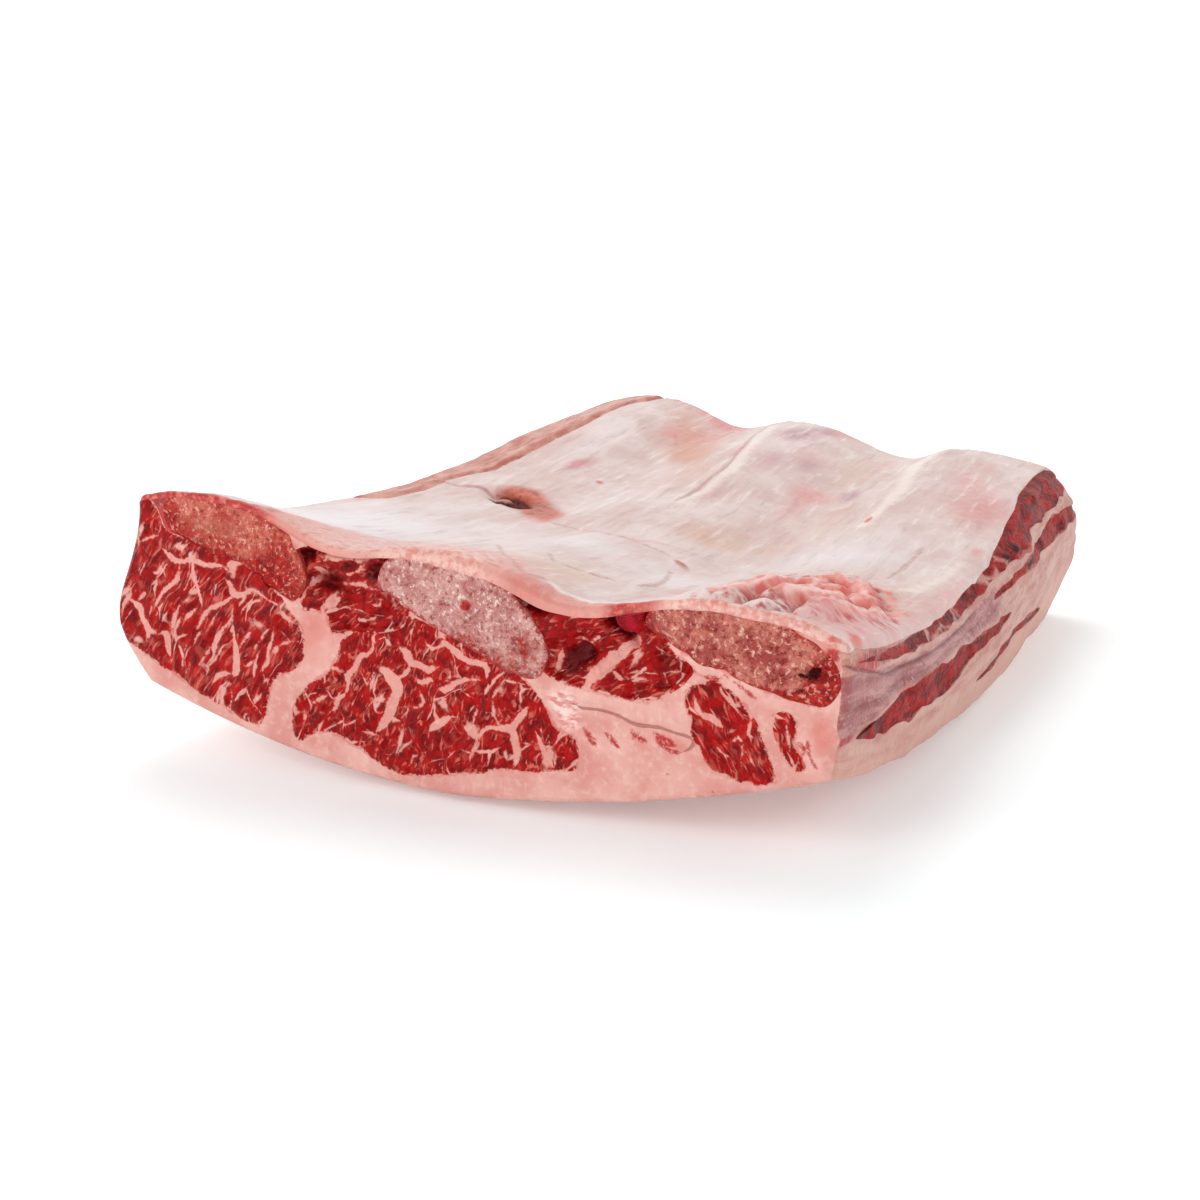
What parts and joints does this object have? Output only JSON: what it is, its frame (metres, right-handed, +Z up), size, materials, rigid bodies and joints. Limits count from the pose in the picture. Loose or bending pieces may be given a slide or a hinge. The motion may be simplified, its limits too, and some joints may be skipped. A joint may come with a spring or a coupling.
{
  "type": "raw beef short rib",
  "caption": "Raw beef short rib slab: rib bones, marbled muscles and rib meat in cream-pink fat, under the smooth lining of the rib cage. Sawn square across the ribs.",
  "frame": {"origin": "middle of the overall box in X and Y, at the height of the underside that rests on the table", "axes": "+Z up from the fat cap to the smooth lining; +Y along the ribs, from the front cut (at -Y) to the back cut; +X across the ribs, towards the thinner right-hand side"},
  "size_m": [0.2284, 0.29, 0.0788],
  "materials": {
    "lining": "smooth moist lining of the rib cage over a thin layer of fat: whitish beige with a bluish sheen, pink smears and fine scrape lines, soft gloss",
    "rib_bone": "sawn rib bone: pinkish grey, granular and porous with dark red specks, matt; silvery lavender sheath where its side shows",
    "rib_meat": "dark red meat from between the ribs, wet and glossy, with coarse fat seams",
    "muscle": "bright red beef muscle with branching cream-pink marbling, moist, semi-gloss",
    "fat": "cream-pink beef fat, smooth and waxy, moist, faintly translucent"
  },
  "bodies": {
    "root": {"lining": "lining", "rib_left": "rib_bone", "rib_middle": "rib_bone", "rib_right": "rib_bone", "intercostal_left": "rib_meat", "intercostal_right": "rib_meat", "flank_upper": "rib_meat", "flank_rear": "rib_meat", "flank_middle": "rib_meat", "flank_lower": "rib_meat", "muscle_left": "muscle", "muscle_middle": "muscle", "muscle_right": "muscle", "muscle_sliver": "muscle", "fat": "fat"}
  },
  "joints": []
}
